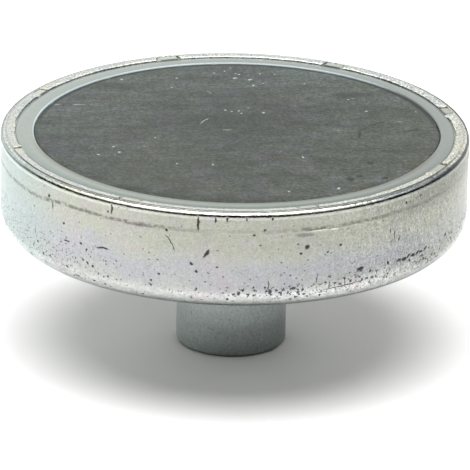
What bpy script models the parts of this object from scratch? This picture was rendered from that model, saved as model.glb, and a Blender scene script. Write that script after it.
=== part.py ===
"""Shallow pot magnet on a threaded stem, standing on its stem with the magnetic face up.

The origin is the centre of the stem's end face. +Z runs along the axis, out of the magnetic
face. All sizes are in metres.
"""

import math

import bmesh
import bpy
from mathutils import Matrix

# Driving dimensions
POT_RADIUS = 0.0315
POT_HEIGHT = 0.0140
STEM_RADIUS = 0.0075
STEM_LENGTH = 0.0160
MAGNET_RADIUS = 0.02735
CLEARANCE = 0.0002  # between neighbouring pieces

# Housing
BASE_THICKNESS = 0.0030
WALL_THICKNESS = 0.0020
RIM_WALL_THICKNESS = 0.0008
SEAT_DEPTH = 0.0030  # from the rim down to the shoulder that the spacer ring rests on
LIP_INNER_RADIUS = 0.0295
LIP_THICKNESS = 0.0005
LIP_COUNT = 8
LIP_GAP_WIDTH = 0.0032
FIRST_GAP_ANGLE = math.radians(-161.8)
RIM_ROUNDING = 0.00065
CORNER_ROUNDING = 0.0036
FLOOR_ROUNDING = 0.0010
CRIMP_DEPTH = 0.0029  # the crimping tool has pressed the wall in, from the rim down to here
CRIMP_STEP = 0.0001
RIVET_RADIUS = 0.0055
RIVET_HEAD_RADIUS = 0.0067

# Magnet and its bed
MAGNET_RECESS = 0.0002  # from the rim down to the magnet's face
MAGNET_CHAMFER = 0.0003
ADHESIVE_THICKNESS = 0.0003
ADHESIVE_RADIUS = 0.0270

# Spacer ring
RING_RECESS = 0.0003  # from the rim down to the ring's bare top
RING_CHAMFER = 0.0003

# M8 thread in the stem
THREAD_MAJOR_RADIUS = 0.0040
THREAD_PITCH = 0.00125
THREAD_MINOR_RADIUS = THREAD_MAJOR_RADIUS - 0.5413 * THREAD_PITCH
THREAD_DEPTH = 0.0130
DRILL_DEPTH = 0.0145
DRILL_POINT_ANGLE = math.radians(59)
MOUTH_RADIUS = 0.0045
STEM_CHAMFER = 0.0004

# Faces around each turned surface
POT_STEPS = 72
STEM_STEPS = 48
BORE_STEPS = 24
SHARP_ANGLE = math.radians(28)

# Levels up the axis
STEM_TOP = STEM_LENGTH
FLOOR = STEM_TOP + BASE_THICKNESS
RIM = STEM_TOP + POT_HEIGHT


def arc(centre_r, centre_z, radius, start, end, pieces):
    """Points along an arc, from the start angle to the end angle in degrees."""
    points = []
    for index in range(pieces + 1):
        angle = math.radians(start + (end - start) * index / pieces)
        points.append((centre_r + radius * math.cos(angle), centre_z + radius * math.sin(angle)))
    return points


def clear_scene():
    for obj in list(bpy.data.objects):
        bpy.data.objects.remove(obj, do_unlink=True)


def new_collection(name):
    collection = bpy.data.collections.new(name)
    bpy.context.scene.collection.children.link(collection)
    return collection


def outline_object(name, outline, closed, collection):
    """An object that holds a (radius, height) outline in the XZ plane."""
    count = len(outline)
    edges = [(index, index + 1) for index in range(count - 1)]
    if closed:
        edges.append((count - 1, 0))
    mesh = bpy.data.meshes.new(name)
    mesh.from_pydata([(r, 0.0, z) for r, z in outline], edges, [])
    obj = bpy.data.objects.new(name, mesh)
    collection.objects.link(obj)
    return obj


def add_screw(obj, steps, rise=0.0, turns=1):
    screw = obj.modifiers.new("Turn", "SCREW")
    screw.axis = "Z"
    screw.angle = math.tau
    screw.steps = steps
    screw.render_steps = steps
    screw.screw_offset = rise
    screw.iterations = turns
    screw.use_merge_vertices = rise == 0.0
    screw.merge_threshold = 0.00001
    return screw


def turned(name, outline, steps, collection, closed):
    """A turned solid. An outline that is not closed starts and ends on the axis."""
    obj = outline_object(name, outline, closed, collection)
    add_screw(obj, steps)
    return obj


def add_cut(obj, cutter):
    cut = obj.modifiers.new(cutter.name, "BOOLEAN")
    cut.operation = "DIFFERENCE"
    cut.solver = "EXACT"
    cut.object = cutter


def mark_as_cutter(obj):
    obj.hide_render = True
    obj.display_type = "WIRE"


def give_material(obj, colour, roughness, metallic):
    material = bpy.data.materials.new(obj.name)
    material.use_nodes = True
    shader = material.node_tree.nodes["Principled BSDF"]
    shader.inputs["Base Color"].default_value = (*colour, 1.0)
    shader.inputs["Roughness"].default_value = roughness
    shader.inputs["Metallic"].default_value = metallic
    obj.data.materials.append(material)


def make_gap_cutter(cutters):
    """A block for each gap between two crimped lips, from inside the lip to the rim's wall."""
    low_r = LIP_INNER_RADIUS - 0.001
    high_r = POT_RADIUS - RIM_WALL_THICKNESS + 0.00005
    low_z = RIM - LIP_THICKNESS - 0.0001
    high_z = RIM + 0.001
    size = Matrix.Diagonal((high_r - low_r, LIP_GAP_WIDTH, high_z - low_z, 1.0))
    place = Matrix.Translation(((low_r + high_r) / 2, 0.0, (low_z + high_z) / 2))
    bm = bmesh.new()
    for index in range(LIP_COUNT):
        turn = Matrix.Rotation(FIRST_GAP_ANGLE + math.tau * index / LIP_COUNT, 4, "Z")
        bmesh.ops.create_cube(bm, size=1.0, matrix=turn @ place @ size)
    mesh = bpy.data.meshes.new("lip_gaps")
    bm.to_mesh(mesh)
    bm.free()
    cutter = bpy.data.objects.new("lip_gaps", mesh)
    cutters.objects.link(cutter)
    mark_as_cutter(cutter)
    return cutter


def make_housing(parts, cutters):
    """Zinc-plated steel cup, with its rim crimped over the spacer ring in eight lips."""
    rim_r = POT_RADIUS - CRIMP_STEP
    wall_r = POT_RADIUS - WALL_THICKNESS
    seat_r = POT_RADIUS - RIM_WALL_THICKNESS
    sink_depth = RIVET_HEAD_RADIUS - RIVET_RADIUS
    outline = arc(rim_r - RIM_ROUNDING, RIM - RIM_ROUNDING, RIM_ROUNDING, 90, 0, 4)
    outline.append((rim_r, RIM - CRIMP_DEPTH))
    outline.append((POT_RADIUS, RIM - CRIMP_DEPTH - 2 * CRIMP_STEP))
    outline += arc(
        POT_RADIUS - CORNER_ROUNDING, STEM_TOP + CORNER_ROUNDING, CORNER_ROUNDING, 0, -90, 7
    )
    outline.append((RIVET_RADIUS, STEM_TOP))
    outline.append((RIVET_RADIUS, FLOOR - sink_depth))
    outline.append((RIVET_HEAD_RADIUS, FLOOR))
    outline += arc(wall_r - FLOOR_ROUNDING, FLOOR + FLOOR_ROUNDING, FLOOR_ROUNDING, -90, 0, 3)
    outline.append((wall_r, RIM - SEAT_DEPTH))
    outline.append((seat_r, RIM - SEAT_DEPTH))
    outline.append((seat_r, RIM - LIP_THICKNESS))
    outline.append((LIP_INNER_RADIUS, RIM - LIP_THICKNESS))
    outline.append((LIP_INNER_RADIUS, RIM))
    housing = turned("pot_housing", outline, POT_STEPS, parts, closed=True)
    add_cut(housing, make_gap_cutter(cutters))
    give_material(housing, (0.62, 0.64, 0.61), 0.35, 1.0)
    return housing


def make_magnet(parts):
    """Solid disc of hard ferrite."""
    top = RIM - MAGNET_RECESS
    bottom = FLOOR + ADHESIVE_THICKNESS + 2 * CLEARANCE
    outline = [
        (0.0, top),
        (MAGNET_RADIUS - MAGNET_CHAMFER, top),
        (MAGNET_RADIUS, top - MAGNET_CHAMFER),
        (MAGNET_RADIUS, bottom + MAGNET_CHAMFER),
        (MAGNET_RADIUS - MAGNET_CHAMFER, bottom),
        (0.0, bottom),
    ]
    magnet = turned("ferrite_magnet", outline, POT_STEPS, parts, closed=False)
    give_material(magnet, (0.14, 0.15, 0.14), 0.55, 0.0)
    return magnet


def make_adhesive(parts):
    """Thin bed of set resin between the magnet and the housing's floor."""
    bottom = FLOOR + CLEARANCE
    top = bottom + ADHESIVE_THICKNESS
    outline = [(0.0, top), (ADHESIVE_RADIUS, top), (ADHESIVE_RADIUS, bottom), (0.0, bottom)]
    adhesive = turned("adhesive_bed", outline, POT_STEPS, parts, closed=False)
    give_material(adhesive, (0.55, 0.42, 0.22), 0.45, 0.0)
    return adhesive


def make_ring(parts):
    """Spacer ring that centres the magnet, with a flange on the seat and under the lips."""
    inner_r = MAGNET_RADIUS + CLEARANCE
    sleeve_r = POT_RADIUS - WALL_THICKNESS - CLEARANCE
    flange_r = POT_RADIUS - RIM_WALL_THICKNESS - CLEARANCE
    top = RIM - RING_RECESS
    flange_top = RIM - LIP_THICKNESS - CLEARANCE
    flange_bottom = RIM - SEAT_DEPTH + CLEARANCE
    bottom = FLOOR + FLOOR_ROUNDING + CLEARANCE
    outline = [
        (sleeve_r, top),
        (sleeve_r, flange_top),
        (flange_r, flange_top),
        (flange_r, flange_bottom),
        (sleeve_r, flange_bottom),
        (sleeve_r, bottom),
        (inner_r, bottom),
        (inner_r, top - RING_CHAMFER),
        (inner_r + RING_CHAMFER, top),
    ]
    ring = turned("spacer_ring", outline, POT_STEPS, parts, closed=True)
    give_material(ring, (0.72, 0.74, 0.70), 0.45, 0.0)
    return ring


def make_drill(cutters):
    """The bore before tapping: a countersunk mouth, a straight bore and a drill point."""
    beyond = 0.0005
    mouth_depth = MOUTH_RADIUS - THREAD_MINOR_RADIUS
    point_height = THREAD_MINOR_RADIUS / math.tan(DRILL_POINT_ANGLE)
    outline = [
        (0.0, DRILL_DEPTH + point_height),
        (THREAD_MINOR_RADIUS, DRILL_DEPTH),
        (THREAD_MINOR_RADIUS, mouth_depth),
        (MOUTH_RADIUS + beyond, -beyond),
        (0.0, -beyond),
    ]
    drill = turned("drill", outline, BORE_STEPS, cutters, closed=False)
    mark_as_cutter(drill)
    return drill


def make_tap(cutters):
    """Helical ridge that cuts the 60 degree thread groove into the drilled bore."""
    inner_r = THREAD_MINOR_RADIUS - 0.0002
    root_half = THREAD_PITCH / 16
    inner_half = root_half + (THREAD_MAJOR_RADIUS - inner_r) * math.tan(math.radians(30))
    start = -THREAD_PITCH
    turns = int((THREAD_DEPTH - start) / THREAD_PITCH)
    outline = [
        (inner_r, start + inner_half),
        (THREAD_MAJOR_RADIUS, start + root_half),
        (THREAD_MAJOR_RADIUS, start - root_half),
        (inner_r, start - inner_half),
    ]
    guide = outline_object("tap_guide", outline, True, cutters)
    add_screw(guide, BORE_STEPS, THREAD_PITCH, turns)
    bpy.context.view_layer.update()
    evaluated = guide.evaluated_get(bpy.context.evaluated_depsgraph_get())
    mesh = bpy.data.meshes.new_from_object(evaluated)
    bpy.data.objects.remove(guide, do_unlink=True)
    bm = bmesh.new()
    bm.from_mesh(mesh)
    rim_edges = [edge for edge in bm.edges if edge.is_boundary]
    bmesh.ops.holes_fill(bm, edges=rim_edges, sides=len(outline))
    bmesh.ops.recalc_face_normals(bm, faces=bm.faces)
    bm.to_mesh(mesh)
    bm.free()
    mesh.name = "tap"
    tap = bpy.data.objects.new("tap", mesh)
    cutters.objects.link(tap)
    mark_as_cutter(tap)
    return tap


def make_bush(parts, cutters):
    """Steel stem with a blind M8 thread, its spigot riveted into the housing's countersink."""
    spigot_r = RIVET_RADIUS - CLEARANCE
    head_r = RIVET_HEAD_RADIUS - CLEARANCE
    head_top = FLOOR - CLEARANCE / 2
    head_bottom = head_top - (head_r - spigot_r)
    shoulder = STEM_TOP - CLEARANCE
    outline = [
        (0.0, head_top),
        (head_r, head_top),
        (spigot_r, head_bottom),
        (spigot_r, shoulder),
        (STEM_RADIUS, shoulder),
        (STEM_RADIUS, STEM_CHAMFER),
        (STEM_RADIUS - STEM_CHAMFER, 0.0),
        (0.0, 0.0),
    ]
    bush = turned("threaded_bush", outline, STEM_STEPS, parts, closed=False)
    add_cut(bush, make_drill(cutters))
    add_cut(bush, make_tap(cutters))
    give_material(bush, (0.45, 0.48, 0.49), 0.4, 1.0)
    return bush


def apply_and_shade(obj):
    """Replace an object's mesh with its finished one, smooth but for its sharp edges."""
    evaluated = obj.evaluated_get(bpy.context.evaluated_depsgraph_get())
    mesh = bpy.data.meshes.new_from_object(evaluated)
    mesh.name = obj.name
    obj.modifiers.clear()
    obj.data = mesh
    mesh.shade_smooth()
    mesh.set_sharp_from_angle(angle=SHARP_ANGLE)


def main():
    clear_scene()
    parts = new_collection("pot_magnet")
    cutters = new_collection("cutters")
    make_housing(parts, cutters)
    make_bush(parts, cutters)
    make_adhesive(parts)
    make_magnet(parts)
    make_ring(parts)
    bpy.context.view_layer.update()
    for obj in parts.objects:
        apply_and_shade(obj)


main()
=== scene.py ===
"""Looks of a shallow pot magnet that stands on its threaded stem, magnetic face up.

Lengths in the shape code are millimetres in the row's frame, and lathe() turns them into metres.
Angles round the axis are degrees from +X towards +Y; the camera looks along +Y.
"""

import math

import bpy
import numpy as np
from mathutils import Matrix, Vector


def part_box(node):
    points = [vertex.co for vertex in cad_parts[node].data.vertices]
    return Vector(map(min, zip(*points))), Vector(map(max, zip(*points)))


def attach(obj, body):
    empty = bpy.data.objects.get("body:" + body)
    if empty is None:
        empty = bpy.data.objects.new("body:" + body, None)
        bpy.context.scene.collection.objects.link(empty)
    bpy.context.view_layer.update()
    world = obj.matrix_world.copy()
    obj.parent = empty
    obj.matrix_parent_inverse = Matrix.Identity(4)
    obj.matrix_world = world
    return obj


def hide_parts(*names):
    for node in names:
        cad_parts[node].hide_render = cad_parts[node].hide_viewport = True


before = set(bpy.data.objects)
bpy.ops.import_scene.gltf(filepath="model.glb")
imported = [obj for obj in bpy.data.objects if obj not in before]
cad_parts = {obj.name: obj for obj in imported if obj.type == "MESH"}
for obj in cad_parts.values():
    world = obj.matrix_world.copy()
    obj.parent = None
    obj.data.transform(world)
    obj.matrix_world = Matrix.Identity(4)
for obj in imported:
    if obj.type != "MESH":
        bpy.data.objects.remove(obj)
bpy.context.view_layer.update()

MM = 0.001

# ---------------------------------------------------------------- sizes, read from the frame
housing_low, housing_high = (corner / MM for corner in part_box("pot_housing"))
bush_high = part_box("threaded_bush")[1] / MM
magnet_low, magnet_high = (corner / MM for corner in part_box("ferrite_magnet"))
ring_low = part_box("spacer_ring")[0] / MM
bed_low, bed_high = (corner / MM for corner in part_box("adhesive_bed"))

RADIUS = housing_high.x
RIM = housing_high.z
BASE = housing_low.z
FLOOR = BASE + 3.0
WALL_INNER = RADIUS - 2.0
RIVET_HOLE = 5.5
COUNTERSINK = 6.7
SEAT = RIM - 3.0
SEAT_RADIUS = RADIUS - 0.65
STEM_RADIUS = bush_high.x - 0.09
MAGNET_RADIUS = magnet_high.x
FACE = magnet_high.z - 0.16
MAGNET_SHIFT = 0.28  # the magnet and the ring's bore sit a little to the right of the axis
STEM_SHIFT = -0.08  # and the stem a little to the left
RING_TOP = RIM - 0.20

CRIMP_RADIUS = RADIUS - 0.02  # above the line where the crimping tool stopped
WALL_RADIUS = RADIUS - 0.09  # below it
TOOL_LINE = RIM - 2.62
RIM_ROUNDING = 0.62
RIM_DROP = 0.09
CORNER_ROUNDING = 3.5
LIP_EDGE = WALL_INNER + 0.05
LIP_OUTER = CRIMP_RADIUS - 0.70  # where a lip's rubbed surface ends
LIP_THICKNESS = 0.20

# The gaps between the crimped lips: where each is, and how wide, in degrees
GAPS = (
    (-162.1, 5.2), (-116.7, 6.3), (-71.2, 5.7), (-25.8, 7),
    (17.8, 5.8), (63.3, 6), (108.4, 6.4), (152.5, 4.6),
)


# ---------------------------------------------------------------- shape helpers
def circle(count):
    """Angles spaced evenly round the circle, in radians."""
    return np.arange(count) * (2 * math.pi / count)


def lathe(name, stations, start_height=None, end_height=None):
    """A closed surface through rings of points, each ring a (radius, height) pair in mm.

    The rings run down the outer side. A radius or a height is a number or an array round the
    circle. With start_height and end_height the surface closes on the axis at those heights;
    without them the last ring joins the first.
    """
    count = max(np.size(value) for ring in stations for value in ring)
    theta = circle(count)
    rings = []
    for radius, height in stations:
        radius = np.broadcast_to(np.asarray(radius, float), (count,))
        height = np.broadcast_to(np.asarray(height, float), (count,))
        rings.append(np.stack([radius * np.cos(theta), radius * np.sin(theta), height], axis=1))
    points = np.concatenate(rings)
    here = np.arange(count)
    after = (here + 1) % count
    faces = []
    for index in range(len(rings) - 1 if start_height is not None else len(rings)):
        top = index * count
        bottom = ((index + 1) % len(rings)) * count
        faces += np.stack([top + here, bottom + here, bottom + after, top + after], 1).tolist()
    if start_height is not None:
        first, last = len(points), len(points) + 1
        points = np.concatenate([points, [(0, 0, start_height), (0, 0, end_height)]])
        end = (len(rings) - 1) * count
        faces += [(first, int(a), int(b)) for a, b in zip(here, after)]
        faces += [(last, int(end + b), int(end + a)) for a, b in zip(here, after)]
    mesh = bpy.data.meshes.new(name)
    mesh.from_pydata((points * MM).tolist(), [], faces)
    mesh.validate()
    mesh.shade_smooth()
    mesh.set_sharp_from_angle(angle=math.radians(35))
    piece = bpy.data.objects.new(name, mesh)
    bpy.context.scene.collection.objects.link(piece)
    return piece


def arc(centre_r, centre_z, radius, start, end, pieces):
    """Rings along an arc, from the start angle to the end angle in degrees."""
    angles = [math.radians(start + (end - start) * i / pieces) for i in range(pieces + 1)]
    return [(centre_r + radius * math.cos(a), centre_z + radius * math.sin(a)) for a in angles]


def between(first, last, pieces):
    """Rings spaced evenly between two rings, without the ends."""
    shares = [i / pieces for i in range(1, pieces)]
    return [
        (first[0] * (1 - s) + last[0] * s, first[1] * (1 - s) + last[1] * s) for s in shares
    ]


def wander(theta, rng, waves, reach):
    """A smooth random curve that closes round the circle, about as high as reach."""
    total = np.zeros_like(theta)
    for wave in waves:
        total += rng.normal() * np.cos(wave * theta + rng.uniform(0, 2 * math.pi))
    return reach * total / math.sqrt(len(waves))


def turn_from(theta, degrees):
    """Each angle's distance from the given one, in degrees, from -180 to 180."""
    return (np.degrees(theta) - degrees + 180) % 360 - 180


def smooth(value):
    """A smooth change from 0 to 1 as the value goes from 0 to 1."""
    value = np.clip(value, 0, 1)
    return value * value * (3 - 2 * value)


def bump_at(theta, degrees, half_width):
    """1 at the given angle, falling to 0 at half_width degrees on each side."""
    return smooth(1 - np.abs(turn_from(theta, degrees)) / half_width)


# ---------------------------------------------------------------- material helpers
def srgb(red, green, blue):
    """A display colour, 0 to 255, as the linear colour that a shader takes."""
    values = [v / 255 for v in (red, green, blue)]
    linear = [v / 12.92 if v <= 0.04045 else ((v + 0.055) / 1.055) ** 2.4 for v in values]
    return (*linear, 1.0)


class Paint:
    """A node material. Its methods add nodes and return the output that holds the result."""

    def __init__(self, name):
        self.material = bpy.data.materials.new(name)
        self.material.use_nodes = True
        self.tree = self.material.node_tree
        self.shader = self.tree.nodes["Principled BSDF"]
        place = self.add("TexCoord").outputs["Object"]
        self.mm = self.vector("SCALE", place, scale=1 / MM)
        self.x, self.y, self.z = self.split(self.mm)
        self.flat = self.join(self.x, self.y, 0.0)
        self.r = self.length(self.flat)
        # The wall laid out flat, with its seam at the back
        back = self.times(self.y, -1.0)
        self.round_wall = self.times(self.math("ARCTAN2", self.x, back), RADIUS)
        self.unrolled = self.join(self.round_wall, self.z, 0.0)

    def put(self, socket, value):
        """Links an output to a socket, or sets the socket to a plain value."""
        if isinstance(value, bpy.types.NodeSocket):
            self.tree.links.new(value, socket)
        elif value is not None:
            socket.default_value = value

    def add(self, kind, **inputs):
        """A new node. Inputs are named as in Blender, with _ for a space."""
        node = self.tree.nodes.new("ShaderNode" + kind)
        for name, value in inputs.items():
            self.put(node.inputs[name.replace("_", " ")], value)
        return node

    def math(self, operation, a, b=None, c=None):
        """One step of arithmetic on numbers or outputs."""
        node = self.add("Math")
        node.operation = operation
        for socket, value in zip(node.inputs, (a, b, c)):
            self.put(socket, value)
        return node.outputs[0]

    def vector(self, operation, a, b=None, scale=None):
        node = self.add("VectorMath")
        node.operation = operation
        self.put(node.inputs[0], a)
        self.put(node.inputs[1], b)
        if scale is not None:
            self.put(node.inputs["Scale"], scale)
        return node.outputs["Value" if operation in ("LENGTH", "DOT_PRODUCT") else "Vector"]

    def length(self, a):
        return self.vector("LENGTH", a)

    def split(self, a):
        return tuple(self.add("SeparateXYZ", Vector=a).outputs)

    def join(self, x, y, z):
        return self.add("CombineXYZ", X=x, Y=y, Z=z).outputs[0]

    def stretched(self, x, y, z):
        """The place in mm, scaled differently along the three axes."""
        return self.vector("MULTIPLY", self.mm, (x, y, z))

    def noise(self, vector, scale, detail=3.0, roughness=0.5, distortion=0.0):
        node = self.add("TexNoise", Vector=vector, Scale=scale, Detail=detail,
                        Roughness=roughness, Distortion=distortion)
        return node.outputs["Fac"]

    def noise_vector(self, vector, scale, reach):
        """A vector that wanders by about reach on each axis."""
        colour = self.add("TexNoise", Vector=vector, Scale=scale).outputs["Color"]
        centred = self.vector("SUBTRACT", colour, (0.5, 0.5, 0.5))
        return self.vector("SCALE", centred, scale=2 * reach)

    def cells(self, vector, scale):
        """Distance to the nearest of many points on a plane, and three random values of it."""
        node = self.add("TexVoronoi")
        node.voronoi_dimensions = "2D"
        self.put(node.inputs["Vector"], vector)
        self.put(node.inputs["Scale"], scale)
        return node.outputs["Distance"], self.split(node.outputs["Color"])

    def step(self, value, low, high, first=0.0, last=1.0):
        """Smooth change from first to last as value goes from low to high."""
        node = self.add("MapRange", Value=value, From_Min=low, From_Max=high, To_Min=first,
                        To_Max=last)
        node.interpolation_type = "SMOOTHSTEP"
        return node.outputs[0]

    def band(self, value, low, high, soft):
        """1 between low and high, with edges soft wide."""
        rise = self.step(value, low - soft, low)
        fall = self.step(value, high, high + soft, 1.0, 0.0)
        return self.times(rise, fall)

    def mix(self, share, a, b, blend="MIX"):
        node = self.add("Mix")
        node.data_type = "RGBA"
        node.blend_type = blend
        self.put(node.inputs["Factor"], share)
        self.put(node.inputs[6], a)
        self.put(node.inputs[7], b)
        return node.outputs[2]

    def times(self, *factors):
        """All the factors multiplied together."""
        total = factors[0]
        for factor in factors[1:]:
            total = self.math("MULTIPLY", total, factor)
        return total

    def plus(self, a, b):
        return self.math("ADD", a, b)

    def minus(self, a, b):
        return self.math("SUBTRACT", a, b)

    def most(self, values):
        """The largest of the values at each place."""
        total = values[0]
        for value in values[1:]:
            total = self.math("MAXIMUM", total, value)
        return total

    def swing(self, texture, reach, middle=1.0):
        """The middle value, with the texture's ups and downs about its mean added."""
        return self.math("MULTIPLY_ADD", self.minus(texture, 0.5), reach, middle)

    def gain(self, mask, amount):
        """A factor of 1 where the mask is 0, and of 1 + amount where it is 1."""
        return self.math("MULTIPLY_ADD", mask, amount, 1.0)

    def shaded(self, colour, level):
        return self.mix(1.0, colour, self.join(level, level, level), "MULTIPLY")

    def bump(self, height, depth, normal=None):
        """Height, from 0 to 1, stands for depth in mm."""
        node = self.add("Bump", Height=height, Distance=depth * MM, Strength=1.0, Normal=normal)
        return node.outputs["Normal"]

    def pits(self, plane, scale, share, reach):
        """Ragged little pits. share of the cells hold one, of radius up to reach of a cell."""
        place = self.vector("ADD", plane, self.noise_vector(self.mm, 3.4, 0.55 / scale))
        distance, (pick, size, _) = self.cells(place, scale)
        held = self.math("LESS_THAN", pick, share)
        edge = self.math("MULTIPLY_ADD", size, reach * 0.7, reach * 0.3)
        inside = self.minus(1.0, self.math("DIVIDE", distance, edge))
        return self.times(held, self.step(inside, 0.0, 0.45))

    def mark(self, place, centre, along, across, length, width):
        """A spot or scratch at a point in mm, lying along one unit vector. The place is in mm too,
        and one that wanders makes the mark ragged."""
        off = self.vector("SUBTRACT", place, centre)
        shares = [self.vector("DOT_PRODUCT", off, tuple(v * 2 / size for v in direction))
                  for direction, size in ((along, length), (across, width))]
        distance = self.length(self.join(shares[0], shares[1], 0.0))
        return self.step(distance, 0.55, 1.15, 1.0, 0.0)

    def finish(self, colour, roughness, normal):
        self.put(self.shader.inputs["Base Color"], colour)
        self.put(self.shader.inputs["Roughness"], roughness)
        self.put(self.shader.inputs["Normal"], normal)
        return self.material


def dress(piece, material, node):
    """Gives a piece its material, attaches it to the root body and hides the CAD node that it stands
    for.
    """
    piece.data.materials.append(material)
    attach(piece, "root")
    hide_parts(node)


# ---------------------------------------------------------------- steel cup
# Marks on the cup's wall: angle round the axis, height, length, width and lean from level.
# Dents are pressed into the mesh as well. Stains are dark, smears dull and gouges bright.
DENTS = (
    (-98.3, 28.4, 2.2, 0.34, 90), (-120.2, 28.75, 1.5, 0.26, 90), (-94.1, 29, 0.8, 0.28, 88),
    (-91.5, 29.1, 0.7, 0.3, 85), (-86.9, 29.12, 0.6, 0.22, 90), (-80.6, 29.15, 0.5, 0.26, 90),
    (-96.3, 24.2, 1.5, 0.46, 60), (-140.5, 27.7, 0.55, 0.5, 0), (-139.2, 26.55, 1.2, 0.2, 90),
    (-72.1, 24.88, 0.65, 0.55, 0), (-81, 18.95, 0.75, 0.48, 80), (-88.5, 18.75, 0.6, 0.4, 40),
    (-57.8, 20.7, 1.3, 0.6, 0), (-75.4, 19.27, 0.8, 0.4, 0), (-46, 20.5, 1, 0.34, 20),
    (-44.2, 20.36, 1.1, 0.44, -12), (-42.6, 20.52, 0.9, 0.4, 30), (-41, 20.4, 1, 0.5, 0),
    (-39.4, 20.56, 0.8, 0.32, 35), (-37.8, 20.48, 1, 0.3, 0), (-36, 20.62, 0.8, 0.36, 20),
)
STAINS = (
    (-106, 27.04, 0.45, 0.36, 90), (-104.9, 25.4, 2.6, 0.14, -60), (-99.9, 22.7, 0.55, 0.34, -50),
    (-98.7, 21.69, 0.45, 0.36, -40), (-107.8, 20.81, 0.4, 0.34, 0), (-109.6, 19.79, 0.36, 0.3, 0),
    (-82.4, 27.61, 0.38, 0.34, 0), (-85.1, 26.93, 0.38, 0.34, 0), (-63.4, 24.65, 0.42, 0.38, 0),
    (-74.3, 25.41, 0.3, 0.28, 0), (-66.8, 23.89, 0.4, 0.34, 50), (-73.5, 24.08, 0.4, 0.3, 0),
    (-134, 22.33, 1.2, 0.26, 4), (-129.4, 22.62, 0.42, 0.38, 0), (-123, 22.9, 2.2, 0.3, 3),
    (-145, 20.47, 0.36, 0.34, 0), (-128.7, 20.52, 0.4, 0.34, 60), (-127.1, 20.3, 0.5, 0.32, -50),
    (-125.8, 20.04, 0.42, 0.36, -40), (-133.9, 18.73, 0.42, 0.36, 0), (-132.5, 17.55, 0.4, 0.3, 20),
    (-130.9, 17.77, 0.4, 0.3, 20), (-125.9, 17.86, 0.7, 0.24, 10), (-121.2, 28.16, 0.34, 0.3, 0),
    (-81.35, 19.85, 1.6, 0.16, 88), (-69.45, 20.35, 1.5, 0.12, 89), (-66.2, 19.2, 1.3, 0.14, 88),
    (-62.1, 19.35, 1.5, 0.13, 88), (-47.6, 24.3, 1.5, 0.16, 86), (-49, 25, 0.8, 0.14, 84),
    (-46, 23.6, 0.9, 0.16, 80), (-55, 20.03, 0.5, 0.4, 0), (-55.1, 18.54, 0.4, 0.34, 0),
    (-49.6, 20.56, 0.5, 0.42, 0), (-26.6, 20.89, 0.5, 0.5, 70), (-78.6, 18.78, 0.36, 0.3, 0),
    (-76.7, 18.72, 0.36, 0.3, 0), (-72.6, 18.23, 0.6, 0.3, 0), (-62.3, 18.77, 6.6, 0.16, 4.6),
    (-44, 28.3, 0.4, 0.36, 0), (-38.6, 28.5, 0.6, 0.2, 80),
)
SMEARS = (
    (-72.6, 26.62, 3, 0.6, -2), (-71, 27.22, 1.6, 0.3, 6), (-70, 27.3, 3.6, 0.24, 0),
    (-113.5, 27.2, 4.6, 0.5, 0),
)
GOUGES = ((-69.3, 27.03, 3, 0.18, -1), (-65.2, 26.98, 1.6, 0.2, 0))
DENT_DEPTH = 0.05


def dents(theta, height):
    """How far the dents push the cup's wall in at one ring of points."""
    depth = np.zeros_like(theta)
    for degrees, centre, length, width, lean in DENTS:
        off = np.radians(turn_from(theta, degrees)) * RADIUS
        rise = height - centre
        tilt = math.radians(lean)
        along = (off * math.cos(tilt) + rise * math.sin(tilt)) * 2 / length
        across = (rise * math.cos(tilt) - off * math.sin(tilt)) * 2 / width
        depth = np.maximum(depth, smooth(1.3 - np.hypot(along, across)) * DENT_DEPTH)
    return depth


def between_lips(theta, margin):
    """1 in the gaps between the lips and 0 elsewhere, narrowed by the margin in degrees."""
    total = np.zeros_like(theta)
    for centre, width in GAPS:
        inside = (width / 2 - margin - np.abs(turn_from(theta, centre))) / 0.5 + 0.5
        total = np.maximum(total, smooth(inside))
    return total


# Burrs where the tool has drawn a lip's end inwards: angle, half width and reach
BURRS = ((-165.6, 1.4, 0.35), (13.8, 1.3, 0.4), (155.9, 1.2, 0.2), (-113.2, 1.5, 0.15),
         (-30.2, 1.6, 0.2), (60.0, 1.0, 0.15))
# Places where the tool's line dips: angle, half width and how far
LINE_DIPS = ((-153, 20, 0.60), (-132, 10, 0.22), (-88, 7, 0.25), (-70, 8, 0.40), (-57, 9, 0.20),
             (-36, 18, -0.24))


def lip_outline(theta, rng, in_gap):
    """Radius of the rim's inner edge: ragged lips, and the bare rim between them."""
    lip_edge = LIP_EDGE + wander(theta, rng, range(5, 40), 0.05)
    lip_edge += wander(theta, rng, range(60, 260), 0.025)
    bare_edge = SEAT_RADIUS - 0.35 + wander(theta, rng, range(40, 200), 0.03)
    for degrees, half_width, reach in BURRS:
        lip_edge -= reach * bump_at(theta, degrees, half_width)
    return lip_edge * (1 - in_gap) + bare_edge * in_gap


def rounding_rings(theta, rng, crimp):
    """The rim's rounding, scuffed most on the left and right of the front."""
    rough = 0.15 + 0.85 * np.maximum(bump_at(theta, -143, 34), bump_at(theta, -38, 30))
    rings = []
    for degrees in (84, 77, 70, 62, 54, 46, 38, 30, 22, 14, 7, 0):
        turn = math.radians(degrees)
        scuff = rough * np.abs(wander(theta, rng, range(70, 420), 0.022))
        radius = crimp - RIM_ROUNDING * (1 - math.cos(turn)) - scuff * math.cos(turn)
        height = RIM - RIM_DROP - RIM_ROUNDING * (1 - math.sin(turn)) - scuff * math.sin(turn)
        rings.append((radius, height))
    return rings


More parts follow.
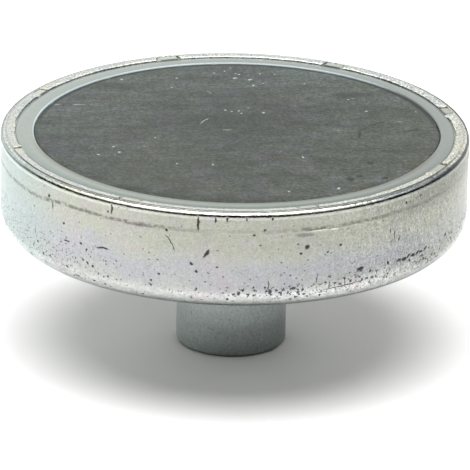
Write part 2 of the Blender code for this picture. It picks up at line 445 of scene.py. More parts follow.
def make_housing():
    """Deep-drawn cup whose rim is folded over the ring in eight lips with ragged ends."""
    rng = np.random.default_rng(63)
    theta = circle(1200)
    in_gap = between_lips(theta, 0.0)
    edge = lip_outline(theta, rng, in_gap)
    droop = (0.10 + wander(theta, rng, range(3, 30), 0.02)) * (1 - in_gap)
    flat_end = CRIMP_RADIUS - RIM_ROUNDING
    crimp = np.minimum(CRIMP_RADIUS + wander(theta, rng, range(4, 50), 0.008), RADIUS)
    line = TOOL_LINE + wander(theta, rng, range(14, 70), 0.035)
    for degrees, half_width, dip in LINE_DIPS:
        line -= dip * bump_at(theta, degrees, half_width)

    rings = [
        (edge, RIM - droop - 0.14),
        (edge + 0.02, RIM - droop - 0.06),
        (edge + 0.07, RIM - droop - 0.01),
    ]
    for share in (0.12, 0.3, 0.5, 0.7, 0.86):
        radius = edge + 0.07 + np.maximum(flat_end - 0.25 - edge - 0.07, 0.02) * share
        rings.append((radius, RIM - droop * (1 - share) ** 2))
    # A sloping crease between the folded lip and the rounded rim
    rings += [
        (flat_end - 0.20, RIM),
        (flat_end - 0.13, RIM - 0.02),
        (flat_end - 0.05, RIM - RIM_DROP * 0.8),
        (flat_end, RIM - RIM_DROP),
    ]
    rings += rounding_rings(theta, rng, crimp)
    rings += between(rings[-1], (crimp, line + 0.2), 7)
    groove = 0.012 + np.abs(wander(theta, rng, range(3, 30), 0.022))
    rings += [
        (crimp, line + 0.2),
        (crimp - groove * 0.5, line + 0.1),
        (crimp - groove, line),
        (crimp - groove - 0.04, line - 0.1),
        (WALL_RADIUS - 0.006, line - 0.25),
        (WALL_RADIUS, line - 0.5),
    ]
    corner_height = BASE + CORNER_ROUNDING
    rings += between(rings[-1], (WALL_RADIUS, corner_height), 26)
    rings += arc(WALL_RADIUS - CORNER_ROUNDING, corner_height, CORNER_ROUNDING, 0, -90, 24)
    rings = [(radius - dents(theta, height), height) for radius, height in rings]
    # The underside, the rivet's hole, the floor and the wall's inner side
    rings += [(radius, BASE) for radius in (26.0, 22.0, 17.0, 12.0, 8.6, 7.9)]
    rings += [(RIVET_HOLE, BASE), (RIVET_HOLE, FLOOR - COUNTERSINK + RIVET_HOLE)]
    rings += [(radius, FLOOR) for radius in (COUNTERSINK, 12.0, 20.0)]
    rings += arc(WALL_INNER - 1.0, FLOOR + 1.0, 1.0, -90, 0, 5)
    rings += [
        (WALL_INNER, SEAT),
        (SEAT_RADIUS, SEAT),
        (SEAT_RADIUS, RIM - 0.55),
        (edge * 0.3 + SEAT_RADIUS * 0.7, RIM - 0.56),
        (edge + 0.02, RIM - droop - LIP_THICKNESS),
    ]
    return lathe("housing", rings)


def plating_marks(paint, marks):
    """Where the marks lie on the wall, from 0 to 1."""
    place = paint.vector("ADD", paint.mm, paint.noise_vector(paint.mm, 3.4, 0.14))
    place = paint.vector("ADD", place, paint.noise_vector(paint.mm, 1.1, 0.22))
    spots = []
    for degrees, height, length, width, lean in marks:
        turn, tilt = math.radians(degrees), math.radians(lean)
        centre = (RADIUS * math.cos(turn), RADIUS * math.sin(turn), height)
        level = Vector((-math.sin(turn), math.cos(turn), 0.0))
        up = Vector((0.0, 0.0, 1.0))
        along = level * math.cos(tilt) + up * math.sin(tilt)
        across = up * math.cos(tilt) - level * math.sin(tilt)
        spots.append(paint.mark(place, centre, tuple(along), tuple(across), length, width))
    return paint.most(spots)


class CupZones:
    """Where the cup's parts, worn places and painted light and shade lie, each from 0 to 1."""

    def __init__(self, paint):
        self.wall = paint.step(paint.r, RADIUS - 3.0, RADIUS - 1.5)
        # The rubbed lips show wider at the sides and the rear
        widened = paint.minus(paint.r, paint.step(paint.y, -16.0, -8.0, 0.0, 0.46))
        inner = paint.step(widened, LIP_OUTER - 0.04, LIP_OUTER + 0.04, 1.0, 0.0)
        self.lips = paint.times(inner, paint.step(paint.z, RIM - 0.6, RIM - 0.3))
        self.not_lips = paint.minus(1.0, self.lips)
        rim = paint.step(paint.z, RIM - 0.85, RIM - 0.72)
        self.rounding = paint.times(rim, paint.minus(1.0, inner))
        # The lower corner band, reaching higher towards the right: it carries a painted reflection
        # of the bright floor, and a smoother finish
        lift = paint.times(paint.most((paint.x, 0.0)), -0.040)
        self.lifted = paint.plus(paint.z, lift)
        self.corner = paint.step(self.lifted, BASE + 2.2, BASE + 3.4, 1.0, 0.0)
        # Below it a painted shade: the corner darkens, and turns bluish, towards its outer edge,
        # higher up towards the right
        climb = paint.plus(paint.step(paint.y, -30.0, -10.0, 0.0, -1.2),
                           paint.step(paint.y, -14.0, 0.0, 0.0, -1.6))
        climb = paint.times(climb, paint.step(paint.x, 0.0, 10.0))
        foot_shade = paint.step(paint.plus(paint.z, climb), BASE + 0.42, BASE + 0.95, 1.0, 0.0)
        self.foot_shade = paint.times(foot_shade, paint.step(paint.r, RADIUS - 3.0, RADIUS - 2.6))


def plating_tint(paint, zones, cloud):
    """Bands of tint: yellowish under the crimp, bluish lower down, cyan far to the left."""
    drift = paint.swing(paint.noise(paint.mm, 0.10, 3.0, 0.5), 9.0, paint.z)
    cream, violet = srgb(190, 192, 179), srgb(184, 186, 190)
    cyan, neutral = srgb(176, 192, 190), srgb(189, 191, 188)
    colour = paint.mix(paint.step(drift, 21.5, 25.0), violet, cream)
    colour = paint.mix(paint.step(drift, 18.6, 20.6, 1.0, 0.0), colour, neutral)
    colour = paint.mix(paint.step(cloud, 0.42, 0.66, 0.0, 0.5), colour, neutral)
    pink = paint.step(paint.noise(paint.mm, 0.20, 2.0), 0.55, 0.7, 0.0, 0.4)
    colour = paint.mix(pink, colour, srgb(194, 184, 190))
    colour = paint.mix(paint.step(paint.x, -RADIUS, -20.0, 0.9, 0.0), colour, cyan)
    yellow = paint.step(paint.x, 20.0, RADIUS, 0.0, 0.6)
    colour = paint.mix(yellow, colour, srgb(190, 193, 178))

    # The folded lips have been rubbed bright, and yellowish at the right
    lip_tint = paint.mix(paint.step(cloud, 0.42, 0.6), srgb(186, 191, 190), srgb(190, 192, 184))
    worn_yellow = paint.times(paint.step(paint.x, 14.0, 22.0, 0.0, 0.5),
                              paint.step(paint.y, 0.0, 9.0, 1.0, 0.0))
    lip_tint = paint.mix(worn_yellow, lip_tint, srgb(190, 188, 168))
    colour = paint.mix(zones.lips, colour, lip_tint)

    # The rounding carries a painted steel-blue reflection at the front right, and a thin dark
    # outline of painted shade from there to the back
    # Painted reflection: steel-blue on the rounding at the front right
    blue_rim_reflection = paint.times(zones.rounding, paint.step(paint.x, 15.0, 21.0),
                        paint.step(paint.y, -14.0, -9.0, 1.0, 0.0), 0.8)
    colour = paint.mix(blue_rim_reflection, colour, srgb(181, 188, 190))
    # Painted shade: a thin dark outline along the rim, strongest towards the right and the back
    edge = paint.plus(paint.r, paint.step(paint.y, -4.0, 14.0, 0.0, 0.44))
    rim_outline_shade = paint.times(paint.band(edge, CRIMP_RADIUS - 0.30, CRIMP_RADIUS + 0.6, 0.06),
                          paint.step(paint.z, RIM - 0.62, RIM - 0.50),
                          paint.step(paint.y, -22.0, -14.0, 0.0, 0.9),
                          paint.step(paint.x, -10.0, 24.0, 0.5, 1.0))
    colour = paint.mix(rim_outline_shade, colour, srgb(52, 58, 58))
    # Painted reflection of the shadowed floor: the corner's outer edge turns bluish
    return paint.mix(paint.times(zones.foot_shade, 0.8), colour, srgb(176, 186, 204))


def plating_level(paint, zones, textures):
    """How bright the plating is at each place, before its pits and stains; much of it is painted
    light and shade.
    """
    grain, mottle, cloud, upright = textures
    away = paint.math("ABSOLUTE", paint.x)
    # Painted shade: the wall, though not the lips, darker towards the right
    level = paint.plus(paint.times(zones.not_lips, paint.x, -0.0048), 0.69)
    speckle = paint.step(grain, 0.36, 0.64, 0.74, 1.14)
    level = paint.times(level, paint.plus(paint.times(zones.lips, speckle), zones.not_lips))

    # Painted reflection of the floor: the lower corner brightened, more towards the right, and
    # darkened at its far right end
    corner = paint.times(zones.corner, paint.step(paint.x, -26.0, 14.0, 0.02, 0.24),
                         paint.step(paint.x, 19.0, 27.0, 1.0, -0.7))
    underside = paint.step(paint.z, BASE + 0.01, BASE + 0.15, 1.0, 0.0)
    # Painted reflection of the floor: a mottled, brighter band low on the corner, stronger towards
    # the right
    lower_corner_sheen = paint.times(paint.band(paint.z, BASE + 1.05, BASE + 2.5, 0.40),
                         paint.step(mottle, 0.36, 0.62, 0.35, 1.25),
                         paint.step(paint.x, -6.0, 8.0, 0.20, 0.36))
    # Painted shade: the top of the wall and the rim darker at the right end, the lips excepted
    right_end_shade = paint.times(paint.step(paint.x, 17.0, 27.0), paint.step(paint.z, 25.0, 27.5),
                            zones.not_lips)
    # Painted shade: the upper wall slightly darker at the front
    upper_front_shade = paint.times(paint.step(paint.z, 23.0, 25.5),
                              paint.step(away, 8.0, 16.0, 1.0, 0.0), zones.wall, zones.not_lips)
    # Painted highlight on the rim's rounding at the left and right
    rim_side_highlight = paint.times(zones.rounding, paint.step(away, 13.0, 22.0),
                                 paint.step(paint.z, RIM - 0.42, RIM - 0.30))
    # Painted highlight: a bright line just under the rim's rounding
    under_rim_highlight = paint.band(paint.z, RIM - 0.98, RIM - 0.76, 0.05)
    # Painted shade: the corner's outer edge darkened, most at the sides
    foot_shade = paint.times(zones.foot_shade, paint.step(away, 8.0, 22.0, -0.46, -0.64))
    # Painted shade on the rim's rounding at the rear
    rear_rim_shade = paint.times(zones.rounding, paint.step(paint.y, 0.0, 8.0))
    for mask, amount in ((zones.lips, 0.55), (corner, 1.0), (underside, 0.75), (lower_corner_sheen, 1.0),
                         (right_end_shade, -0.30), (upper_front_shade, -0.07), (rim_side_highlight, 0.75),
                         (under_rim_highlight, 0.34), (foot_shade, 1.0), (rear_rim_shade, -0.22)):
        level = paint.times(level, paint.gain(mask, amount))
    # Each texture's reach, at the left and at the rougher right
    for texture, left, right in ((grain, 0.70, 1.9), (mottle, 0.24, 0.90), (cloud, 0.14, 0.3),
                                 (upright, 0.14, 0.6)):
        reach = paint.step(paint.x, 8.0, 24.0, left, right)
        level = paint.times(level, paint.swing(texture, reach))
    return level


def plating_pits(paint, zones):
    """Pits, dents and stains: large pits crowd the lower corner, small ones the lower left."""
    corner_band = paint.band(zones.lifted, BASE + 1.5, BASE + 3.3, 0.8)
    crowd = paint.step(paint.noise(paint.mm, 0.2, 2.0), 0.42, 0.58, 0.30, 0.74)
    share = paint.times(corner_band, crowd, paint.step(paint.x, -4.0, 8.0, 0.22, 1.0), zones.wall)
    coarse = paint.pits(paint.unrolled, 1.45, paint.plus(share, 0.003), 0.36)
    left = paint.step(paint.x, -26.0, -13.0, 1.0, 0.08)
    low = paint.band(paint.z, BASE + 1.0, BASE + 5.0, 3.0)
    fine_share = paint.plus(paint.times(left, low, 0.80), 0.03)
    fine = paint.pits(paint.unrolled, 2.5, paint.plus(fine_share, paint.times(share, 0.5)), 0.36)
    pitted = paint.times(paint.most((coarse, paint.times(fine, 0.62))), zones.wall,
                         paint.step(paint.z, RIM - 0.9, RIM - 0.7, 1.0, 0.12))
    return paint.most((pitted, plating_marks(paint, DENTS + STAINS)))


def plating_grime(paint, zones, mottle):
    """Broken grime along the line where the crimping tool stopped."""
    wavy = paint.noise(paint.mm, 0.5, 3.0, 0.6)
    dip = paint.step(paint.round_wall, -31.0, -24.0, -0.6, 0.0)
    line = paint.plus(paint.swing(wavy, 0.45, TOOL_LINE), dip)
    off = paint.math("ABSOLUTE", paint.minus(paint.z, line))
    away = paint.math("ABSOLUTE", paint.x)
    return paint.times(paint.step(off, 0.10, 0.42, 1.0, 0.0), paint.step(mottle, 0.34, 0.58),
                       paint.step(away, 2.0, 12.0, 0.30, 0.85), zones.wall)


def zinc_cup():
    """Zinc plating with a faint iridescent passivation, pitted low down, scuffed and stained."""
    paint = Paint("zinc_cup")
    zones = CupZones(paint)
    cloud = paint.noise(paint.mm, 0.35, 4.0, 0.6)
    mottle = paint.noise(paint.mm, 1.3, 4.0, 0.65)
    grain = paint.noise(paint.mm, 3.6, 3.0, 0.6)
    upright = paint.noise(paint.stretched(2.6, 2.6, 0.35), 1.0, 3.0, 0.6)
    level = plating_level(paint, zones, (grain, mottle, cloud, upright))
    colour = paint.shaded(plating_tint(paint, zones, cloud), level)

    # Painted shade in the crease between the lips and the rounded rim, deepest at the front
    crease_shade = paint.times(paint.band(paint.r, LIP_OUTER - 0.18, LIP_OUTER, 0.05),
                         paint.step(paint.z, RIM - 0.2, RIM - 0.1),
                         paint.step(cloud, 0.36, 0.56, 0.8, 0.96),
                         paint.step(paint.y, -14.0, -5.0, 1.0, 0.25))
    colour = paint.mix(crease_shade, colour, srgb(72, 74, 70))
    pitted = plating_pits(paint, zones)
    colour = paint.mix(paint.times(pitted, 0.84), colour, srgb(42, 42, 38))
    scratched = paint.times(paint.step(upright, 0.60, 0.70), paint.step(paint.x, 12.0, 22.0),
                            zones.wall, 0.5)
    colour = paint.mix(scratched, colour, srgb(84, 86, 80))
    colour = paint.mix(plating_grime(paint, zones, mottle), colour, srgb(98, 98, 90))
    colour = paint.mix(paint.times(plating_marks(paint, SMEARS), 0.5), colour, srgb(80, 80, 74))
    gouges = paint.times(plating_marks(paint, GOUGES), 0.7)
    colour = paint.mix(gouges, colour, srgb(214, 216, 208))

    roughness = paint.math("MULTIPLY_ADD", cloud, 0.20, 0.22)
    roughness = paint.math("MULTIPLY_ADD", pitted, 0.35, roughness)
    roughness = paint.math("MULTIPLY_ADD", zones.lips, 0.12, roughness)
    polish = paint.most((zones.rounding, zones.corner))
    roughness = paint.times(roughness, paint.gain(polish, -0.5))
    normal = paint.bump(paint.minus(1.0, pitted), 0.08)
    normal = paint.bump(paint.times(grain, paint.gain(zones.lips, 2.0)), 0.030, normal)
    normal = paint.bump(cloud, 0.12, normal)
    paint.shader.inputs["Metallic"].default_value = 1.0
    return paint.finish(colour, roughness, normal)


# ---------------------------------------------------------------- threaded stem
THREAD_MAJOR = 4.0
THREAD_PITCH = 1.25
THREAD_MINOR = THREAD_MAJOR - 0.5413 * THREAD_PITCH
THREAD_DEPTH = 13.0
DRILL_DEPTH = 14.5
DRILL_POINT = 59  # degrees, half of the drill point's angle
MOUTH_RADIUS = 4.5
SPIGOT_RADIUS = 5.3
HEAD_RADIUS = 6.5


def make_bush():
    """Turned stem with a blind M8 thread and a spigot riveted into the cup's base."""
    theta = circle(144)
    head_top = bush_high.z
    shoulder = BASE - 0.2
    rings = [(head, head_top) for head in (2.0, 5.0, HEAD_RADIUS - 0.1)]
    rings += [
        (HEAD_RADIUS, head_top - 0.1),
        (SPIGOT_RADIUS, head_top - 1.3),
        (SPIGOT_RADIUS, shoulder),
        (7.25, shoulder),
        (STEM_RADIUS, shoulder - 0.25),
    ]
    rings += between(rings[-1], (STEM_RADIUS, 0.46), 12)
    rings += [
        (STEM_RADIUS, 0.46),
        (STEM_RADIUS - 0.03, 0.38),
        (STEM_RADIUS - 0.30, 0.09),
        (STEM_RADIUS - 0.38, 0.03),
        (STEM_RADIUS - 0.46, 0.0),
        (6.0, 0.0),
        (MOUTH_RADIUS + 0.05, 0.0),
    ]
    steps = int(THREAD_DEPTH / THREAD_PITCH * 20)
    for index in range(steps + 1):
        height = THREAD_DEPTH * index / steps
        along = (height / THREAD_PITCH - theta / (2 * math.pi)) % 1.0
        off = np.abs(along - 0.5) * THREAD_PITCH
        radius = THREAD_MAJOR - (off - THREAD_PITCH / 16) / math.tan(math.radians(30))
        radius = np.clip(radius, THREAD_MINOR, THREAD_MAJOR)
        fade = smooth((THREAD_DEPTH - height) / 0.9)
        radius = THREAD_MINOR + (radius - THREAD_MINOR) * fade
        rings.append((np.maximum(radius, MOUTH_RADIUS - height), height))
    rings += [(THREAD_MINOR, THREAD_DEPTH + 0.3), (THREAD_MINOR, DRILL_DEPTH)]
    point = THREAD_MINOR / math.tan(math.radians(DRILL_POINT))
    rings.append((THREAD_MINOR * 0.5, DRILL_DEPTH + point * 0.5))
    stem = lathe("stem", rings, head_top, DRILL_DEPTH + point)
    stem.data.transform(Matrix.Translation((STEM_SHIFT * MM, 0.0, 0.0)))
    return stem


def zinc_stem():
    """Duller zinc on a turned surface, with fine tool marks round it."""
    paint = Paint("zinc_stem")
    cloud = paint.noise(paint.mm, 0.3, 4.0, 0.6)
    grain = paint.noise(paint.mm, 3.0, 3.0, 0.6)
    turned = paint.noise(paint.stretched(0.12, 0.12, 9.0), 1.0, 2.0, 0.5)
    colour = paint.mix(cloud, srgb(166, 176, 179), srgb(176, 182, 176))
    # Painted shade: the stem darker low down, save on its left, and darker towards the right
    lower = paint.times(paint.step(paint.z, 3.5, 5.5, 1.0, 0.0), paint.step(paint.x, -5.0, -1.0))
    level = paint.times(paint.swing(grain, 0.9), paint.gain(lower, -0.16),
                        paint.math("MULTIPLY_ADD", paint.x, -0.024, 0.93))
    colour = paint.shaded(colour, level)
    spots = paint.pits(paint.unrolled, 0.9, 0.12, 0.24)
    colour = paint.mix(paint.times(spots, 0.6), colour, srgb(70, 70, 68))
    roughness = paint.math("MULTIPLY_ADD", cloud, 0.16, 0.34)
    normal = paint.bump(turned, 0.012)
    normal = paint.bump(grain, 0.02, normal)
    normal = paint.bump(paint.minus(1.0, spots), 0.05, normal)
    paint.shader.inputs["Metallic"].default_value = 1.0
    return paint.finish(colour, roughness, normal)


# ---------------------------------------------------------------- magnet
BORE_CLEARANCE = 0.05


def bore_radius(theta):
    """The ring's bore about its own centre. The ring stands further in at the front."""
    front = np.clip(-1.6 * np.sin(theta), 0, 1)
    return MAGNET_RADIUS - 0.08 - 0.26 * front - 0.24 * bump_at(theta, -24, 24)


def make_magnet():
    """Ground ferrite disc with a worn, lightly chipped edge."""
    rng = np.random.default_rng(9)
    theta = circle(720)
    worn = 0.02 + np.abs(wander(theta, rng, range(5, 90), 0.03))
    for _ in range(14):
        chip = bump_at(theta, rng.uniform(-180, 180), rng.uniform(0.6, 2.0))
        worn += rng.uniform(0.08, 0.22) * chip
    radius = bore_radius(theta) - BORE_CLEARANCE
    top = FACE
    rings = [(radius * share, top) for share in (0.25, 0.5, 0.75, 0.93)]
    rings += [
        (radius - 0.08 - worn, top),
        (radius - 0.05 - worn * 0.8, top - 0.01 - worn * 0.15),
        (radius - 0.01 - worn * 0.2, top - 0.05 - worn * 0.5),
        (radius, top - 0.10 - worn * 0.8),
        (radius, magnet_low.z + 0.3),
        (radius - 0.3, magnet_low.z),
        (radius * 0.5, magnet_low.z),
    ]
    magnet = lathe("magnet", rings, top, magnet_low.z)
    magnet.data.transform(Matrix.Translation((MAGNET_SHIFT * MM, 0.0, 0.0)))
    return magnet


# Marks on the magnet's face: x, y, length, width and lean from the X axis
SMALL_SPECKS = (
    (-3, 23.3), (-0.1, 23.3), (0.4, 22.9), (-0.3, 21.2), (1.8, 20.7), (-0.8, 25.5),
    (3.3, 23.3), (5.3, 23.3), (3.8, 19.5), (-8.1, 21), (9.4, 19.8), (-8.7, 17.3),
    (15.3, 13.6), (-0.5, 8.1), (0.5, 8.3), (1.8, 9.7), (0.9, 7.4),
)
LIGHT_MARKS = (
    (-1.3, 8.5, 0.4, 0.48, 0), (3.8, 7.8, 0.48, 0.56, 20), (17.7, 9.1, 0.48, 0.48, 0),
    (24.4, 9.2, 0.32, 0.4, 0), (9.1, -9.2, 0.32, 0.72, 0), (-10.6, -2.7, 0.32, 0.48, 0),
    (-7.6, -12.4, 0.32, 0.4, 0), (-2.8, -12.6, 0.32, 0.48, 0), (-18.1, -9.5, 0.4, 0.48, 20),
    (-16.2, -6.4, 0.4, 0.56, 0), (-15.3, -8.5, 0.56, 0.4, 30), (-15.6, 20.1, 0.4, 0.64, 0),
    (-1.6, 24.2, 0.32, 0.48, 0), (-0.1, 21.5, 0.64, 0.4, 0), (2, 21, 0.56, 0.48, 0),
    (2.4, 18.6, 0.4, 0.56, 0), (13.7, -20.6, 0.4, 0.72, 0), (7.2, -22.1, 0.32, 0.48, 0),
    (-4.3, 4, 2.2, 0.17, 66), (-4, 4.6, 1.8, 0.13, 60), (-24.2, 9.6, 1.4, 0.16, 2),
    (-21.2, 9.8, 1.8, 0.2, 2), (-1, 0.8, 1.5, 0.18, 4), (-3.6, 15.6, 1.6, 0.08, -70),
) + tuple((x, y, 0.34, 0.36, 0) for x, y in SMALL_SPECKS)
DARK_MARKS = (
    (16.7, -0.2, 3.2, 0.5, 84), (17.3, 2.1, 1.8, 0.5, 50), (19.1, 4.3, 3.6, 0.5, 38),
    (17.2, -4.2, 2, 0.4, -40), (18.4, -5.2, 1.6, 0.4, -10), (23.6, 1.8, 2.6, 0.6, 40),
    (24.3, 2.2, 1, 0.8, 40), (18, -10.8, 1.2, 1.2, 0), (15.3, -17.2, 1.4, 1.6, 0),
    (16.6, -16, 1, 1, 0), (19.9, -16.4, 1.2, 0.9, 30),
)


def magnet_reach(paint):
    """Distance from the magnet's own centre."""
    return paint.length(paint.join(paint.minus(paint.x, MAGNET_SHIFT), paint.y, 0.0))


def face_marks(paint, marks):
    """Where the marks lie on the magnet's face, from 0 to 1."""
    place = paint.vector("ADD", paint.mm, paint.noise_vector(paint.mm, 1.6, 0.25))
    spots = []
    for x, y, length, width, lean in marks:
        turn = math.radians(lean)
        along = (math.cos(turn), math.sin(turn), 0.0)
        across = (-math.sin(turn), math.cos(turn), 0.0)
        spots.append(paint.mark(place, (x, y, FACE), along, across, length, width))
    return paint.most(spots)


def ferrite_level(paint, streak, cloud):
    """How bright the magnet's face is, dark near its centre and pale on the right, and its grain."""
    level = paint.plus(paint.step(paint.x, 0.0, 16.0, 1.0, 1.18),
                       paint.step(paint.y, -22.0, -8.0, 0.10, 0.0))
    off_x = paint.math("MULTIPLY_ADD", paint.x, 1 / 17.0, -5.0 / 17.0)
    off_y = paint.math("MULTIPLY_ADD", paint.y, 1 / 10.0, -0.55)
    patch = paint.swing(cloud, 1.6, paint.length(paint.join(off_x, off_y, 0.0)))
    grain = paint.noise(paint.stretched(2.4, 2.4, 1.0), 1.0, 4.0, 0.75)
    blotch = paint.noise(paint.mm, 0.45, 4.0, 0.65)
    fine = paint.noise(paint.stretched(3.6, 5.0, 1.0), 1.0, 2.0)
    rougher = paint.step(paint.x, -12.0, 8.0, 0.0, 1.7)
    level = paint.times(level, paint.step(patch, 0.1, 1.3, 0.77, 1.06),
                        paint.step(streak, 0.33, 0.67, 0.80, 1.22),
                        paint.step(grain, 0.33, 0.67, 0.56, 1.48),
                        paint.step(blotch, 0.33, 0.67, 0.88, 1.13), paint.swing(fine, rougher))
    return level, grain


def ferrite():
    """Dark ground ferrite: nearly level grinding streaks, dust, bright specks and stains."""
    paint = Paint("ferrite")
    turn = math.radians(4)
    cosine, sine = math.cos(turn), math.sin(turn)
    along = paint.plus(paint.times(paint.x, cosine), paint.times(paint.y, sine))
    across = paint.minus(paint.times(paint.y, cosine), paint.times(paint.x, sine))
    lines = paint.join(paint.times(along, 0.25), paint.times(across, 1.4), 0.0)
    streak = paint.noise(lines, 1.0, 5.0, 0.62)
    wide = paint.join(paint.times(along, 0.06), paint.times(across, 0.3), 3.0)
    swath = paint.noise(wide, 1.0, 4.0, 0.6)
    cloud = paint.noise(paint.mm, 0.09, 4.0, 0.55)

    # Dust lies paler towards the back and the left
    away = paint.math("MULTIPLY_ADD", paint.x, -0.6, paint.y)
    dust = paint.step(paint.math("MULTIPLY_ADD", cloud, 30.0, away), -4.0, 40.0)
    colour = paint.mix(dust, srgb(47, 52, 46), srgb(59, 65, 62))
    colour = paint.mix(paint.step(swath, 0.38, 0.66, 0.0, 0.55), colour, srgb(36, 40, 34))
    brown = paint.step(paint.noise(paint.mm, 0.13, 3.0), 0.52, 0.68, 0.0, 0.22)
    colour = paint.mix(brown, colour, srgb(60, 57, 46))
    lilac = paint.step(paint.noise(paint.mm, 0.22, 3.0), 0.50, 0.64, 0.0, 0.4)
    colour = paint.mix(lilac, colour, srgb(57, 57, 62))
    level, grain = ferrite_level(paint, streak, cloud)
    colour = paint.shaded(colour, level)

    smudge = paint.noise(paint.stretched(0.16, 0.4, 1.0), 1.0, 4.0, 0.65, 0.6)
    stain = paint.times(paint.step(smudge, 0.54, 0.70), paint.step(paint.x, -10.0, 12.0), 0.5)
    colour = paint.mix(stain, colour, srgb(24, 26, 23))
    dots = paint.pits(paint.flat, 0.8, 0.10, 0.16)
    colour = paint.mix(paint.times(dots, 0.7), colour, srgb(16, 16, 14))
    colour = paint.mix(paint.times(face_marks(paint, DARK_MARKS), 0.9), colour, srgb(20, 22, 18))
    specks = paint.pits(paint.flat, 0.5, 0.03, 0.08)
    bright = paint.most((specks, face_marks(paint, LIGHT_MARKS)))
    colour = paint.mix(paint.times(bright, 0.44), colour, srgb(190, 196, 186))

    # The face darkens towards its edge, most at the rear, where a painted shade lies by the groove
    # beside the ring
    reach = magnet_reach(paint)
    rim = paint.step(reach, MAGNET_RADIUS - 0.7, MAGNET_RADIUS - 0.2)
    colour = paint.mix(paint.times(rim, 0.6), colour, srgb(42, 41, 33))
    # Painted shade by the groove at the rear
    rear_edge_shade = paint.times(paint.step(reach, MAGNET_RADIUS - 0.95, MAGNET_RADIUS - 0.60),
                           paint.step(paint.y, 0.0, 8.0), 0.8)
    colour = paint.mix(rear_edge_shade, colour, srgb(20, 25, 28))

    roughness = paint.math("MULTIPLY_ADD", streak, 0.25, 0.36)
    normal = paint.bump(streak, 0.020)
    normal = paint.bump(grain, 0.045, normal)
    paint.shader.inputs["Specular IOR Level"].default_value = 0.18
    return paint.finish(colour, roughness, normal)


# ---------------------------------------------------------------- spacer ring
def make_ring():
    """Pale ring between the magnet and the cup, its flange held under the lips."""
    theta = circle(720)
    # The bore's centre is shifted, so its radius changes round the circle
    shift = MAGNET_SHIFT * np.cos(theta)
    bore = bore_radius(theta) + shift
    sleeve = WALL_INNER - 0.2
    flange = SEAT_RADIUS - 0.1
    flange_top = RIM - 0.36 + 0.24 * between_lips(theta, 0.6)
    rings = [
        (sleeve - 0.06, RING_TOP),
        (sleeve + 0.04, RING_TOP - 0.05),
        (sleeve + 0.12, flange_top),
        (flange - 0.1, flange_top),
        (flange, flange_top - 0.1),
        (flange, SEAT + 0.2),
        (sleeve, SEAT + 0.2),
        (sleeve, ring_low.z),
        (bore, ring_low.z),
        (bore, RING_TOP - 0.20),
        (bore + 0.02, RING_TOP - 0.15),
        (bore + 0.12, RING_TOP - 0.03),
        (bore + 0.16, RING_TOP),
        ((bore + sleeve) / 2, RING_TOP),
    ]
    return lathe("ring", rings)


def ring_plastic():
    """Smooth pale grey plastic with a soft gloss, slightly soiled."""
    paint = Paint("ring_plastic")
    cloud = paint.noise(paint.mm, 0.2, 4.0, 0.6)
    grain = paint.noise(paint.mm, 2.4, 3.0, 0.6)
    colour = paint.mix(cloud, srgb(104, 112, 106), srgb(115, 122, 117))
    # The flange between the lips is paler, the bore's edge carries a painted highlight at the rear,
    # and the front is soiled
    outer = paint.step(paint.r, WALL_INNER - 0.1, WALL_INNER + 0.2)
    colour = paint.mix(paint.times(outer, 0.8), colour, srgb(150, 152, 138))
    reach = magnet_reach(paint)
    # Painted highlight on the bore's edge at the rear
    bright = paint.times(paint.step(reach, MAGNET_RADIUS + 0.02, MAGNET_RADIUS + 0.10, 1.0, 0.0),
                         paint.step(paint.y, -8.0, 0.0),
                         paint.step(paint.x, 18.0, 24.0, 1.0, 0.0), 0.9)
    colour = paint.mix(bright, colour, srgb(182, 196, 198))
    soil = paint.times(paint.step(reach, MAGNET_RADIUS - 0.35, MAGNET_RADIUS + 0.9, 1.0, 0.0),
                       paint.step(paint.y, -12.0, -2.0, 1.0, 0.0), 0.85)
    colour = paint.mix(soil, colour, srgb(80, 80, 62))
    # A painted shadow, patchy, under the lips' edge at the rear
    line = paint.times(paint.band(paint.r, WALL_INNER - 0.50, WALL_INNER + 0.02, 0.08),
                       paint.step(paint.y, 2.0, 12.0), paint.step(cloud, 0.34, 0.56, 0.45, 0.9))
    colour = paint.mix(line, colour, srgb(58, 68, 72))
    # Painted shade: the ring darker towards the right
    level = paint.times(paint.swing(grain, 0.30),
                        paint.math("MULTIPLY_ADD", paint.x, -0.0055, 0.82))
    colour = paint.shaded(colour, level)
    roughness = paint.math("MULTIPLY_ADD", cloud, 0.15, 0.16)
    normal = paint.bump(grain, 0.010)
    paint.shader.inputs["Specular IOR Level"].default_value = 0.45
    return paint.finish(colour, roughness, normal)


# ---------------------------------------------------------------- adhesive bed
def make_bed():
    """Resin squeezed out flat under the magnet, with an uneven edge."""
    rng = np.random.default_rng(4)
    theta = circle(180)
    edge = bed_high.x - 0.4 + np.clip(wander(theta, rng, range(3, 20), 0.2), -0.8, 0.35)
    middle = (bed_low.z + bed_high.z) / 2
    rings = [
        (edge * 0.5, bed_high.z),
        (edge - 0.2, bed_high.z),
        (edge, middle),
        (edge - 0.2, bed_low.z),
        (edge * 0.5, bed_low.z),
    ]
    return lathe("resin", rings, bed_high.z, bed_low.z)


def resin():
    """Hard amber resin, a little glossy."""
    paint = Paint("resin")
    cloud = paint.noise(paint.mm, 0.3, 4.0, 0.6)
    colour = paint.mix(cloud, srgb(176, 140, 84), srgb(206, 176, 120))
    roughness = paint.math("MULTIPLY_ADD", cloud, 0.2, 0.2)
    return paint.finish(colour, roughness, paint.bump(cloud, 0.05))


dress(make_housing(), zinc_cup(), "pot_housing")
dress(make_bush(), zinc_stem(), "threaded_bush")
dress(make_magnet(), ferrite(), "ferrite_magnet")
dress(make_ring(), ring_plastic(), "spacer_ring")
dress(make_bed(), resin(), "adhesive_bed")


# ---------------------------------------------------------------- studio
# The camera was fitted to the photo's outlines. Angles are in degrees.
CAMERA_ELEVATION = 20.1844
CAMERA_TILT = 0.9179  # aimed this far below the rim's centre
CAMERA_PAN = 0.0174
CAMERA_ROLL = 1.0281
CAMERA_LENS = 503.8
CAMERA_DISTANCE = 14.0 * 2 * RADIUS * MM


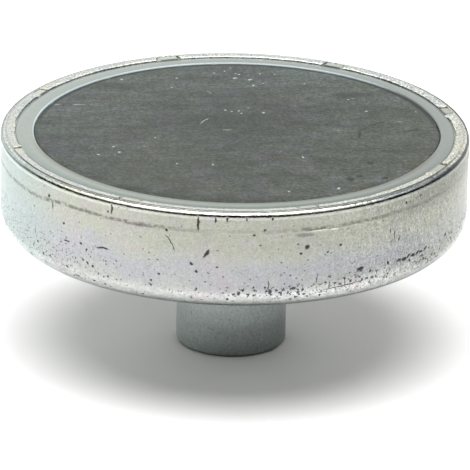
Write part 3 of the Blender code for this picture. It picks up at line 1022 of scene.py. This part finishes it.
def make_camera():
    """A long lens from in front and 20 degrees above, as the object is looked down on."""
    distance = CAMERA_DISTANCE
    elevation = math.radians(CAMERA_ELEVATION)
    down = -math.radians(CAMERA_ELEVATION + CAMERA_TILT)
    pan = math.radians(CAMERA_PAN)
    roll = math.radians(CAMERA_ROLL)
    ahead = Vector(
        (math.sin(pan) * math.cos(down), math.cos(pan) * math.cos(down), math.sin(down))
    )
    right = ahead.cross(Vector((0.0, 0.0, 1.0))).normalized()
    up = right.cross(ahead)
    right_turned = right * math.cos(roll) + up * math.sin(roll)
    up_turned = up * math.cos(roll) - right * math.sin(roll)
    axes = Matrix((right_turned, up_turned, -ahead)).transposed().to_4x4()
    place = Vector(
        (0.0, -distance * math.cos(elevation), RIM * MM + distance * math.sin(elevation))
    )
    lens = bpy.data.cameras.new("camera")
    lens.lens = CAMERA_LENS
    lens.sensor_width = 36.0
    lens.clip_start = 0.01
    lens.clip_end = 10.0
    camera = bpy.data.objects.new("camera", lens)
    camera.matrix_world = Matrix.Translation(place) @ axes
    bpy.context.scene.collection.objects.link(camera)
    bpy.context.scene.camera = camera


def make_floor():
    """A pale matt floor. Its lower side lets the view from below through."""
    mesh = bpy.data.meshes.new("floor")
    reach, level = 4.0, -0.00003
    corners = [(-reach, -reach, level), (reach, -reach, level), (reach, reach, level),
               (-reach, reach, level)]
    mesh.from_pydata(corners, [], [(0, 1, 2, 3)])
    floor = bpy.data.objects.new("floor", mesh)
    bpy.context.scene.collection.objects.link(floor)
    material = bpy.data.materials.new("floor")
    material.use_nodes = True
    tree = material.node_tree
    shader = tree.nodes["Principled BSDF"]
    shader.inputs["Base Color"].default_value = (0.80, 0.80, 0.795, 1.0)
    shader.inputs["Roughness"].default_value = 0.9
    shader.inputs["Specular IOR Level"].default_value = 0.1
    clear = tree.nodes.new("ShaderNodeBsdfTransparent")
    side = tree.nodes.new("ShaderNodeNewGeometry")
    blend = tree.nodes.new("ShaderNodeMixShader")
    tree.links.new(side.outputs["Backfacing"], blend.inputs[0])
    tree.links.new(shader.outputs[0], blend.inputs[1])
    tree.links.new(clear.outputs[0], blend.inputs[2])
    tree.links.new(blend.outputs[0], tree.nodes["Material Output"].inputs["Surface"])
    mesh.materials.append(material)


def make_light():
    """One large softbox overhead, a little in front of the object and to its left."""
    softbox = bpy.data.lights.new("softbox", "AREA")
    softbox.shape = "ELLIPSE"
    softbox.size = 0.68
    softbox.size_y = 0.60
    softbox.energy = 5.9
    lamp = bpy.data.objects.new("softbox", softbox)
    lamp.location = (-0.010, -0.056, 0.50)
    bpy.context.scene.collection.objects.link(lamp)


class Room(Paint):
    """The world's nodes: light by direction."""

    def __init__(self):
        world = bpy.data.worlds.new("room")
        world.use_nodes = True
        bpy.context.scene.world = world
        self.tree = world.node_tree
        self.background = self.tree.nodes["Background"]
        coordinates = self.add("TexCoord").outputs["Generated"]
        self.x, self.y, self.z = self.split(coordinates)


def make_room():
    """Bright behind the object and, above its middle, on both sides; dark behind the camera."""
    room = Room()
    behind = room.step(room.y, 0.30, 0.72)
    low = room.step(room.z, 0.42, 0.60, 1.0, 0.0)
    glow = room.times(behind, room.math("MULTIPLY_ADD", low, 1.0, 0.30))
    high = room.step(room.z, 0.46, 0.62)
    left = room.times(room.step(room.x, -0.62, -0.20, 1.20, 0.0), high)
    right = room.times(room.step(room.x, 0.20, 0.62, 0.0, 1.1), high)
    total = room.plus(room.plus(glow, left), room.plus(right, 0.02))
    room.put(room.background.inputs["Color"], room.join(total, total, total))
    room.background.inputs["Strength"].default_value = 1.0


make_camera()
make_floor()
make_light()
make_room()
bpy.context.scene.view_settings.view_transform = "Standard"
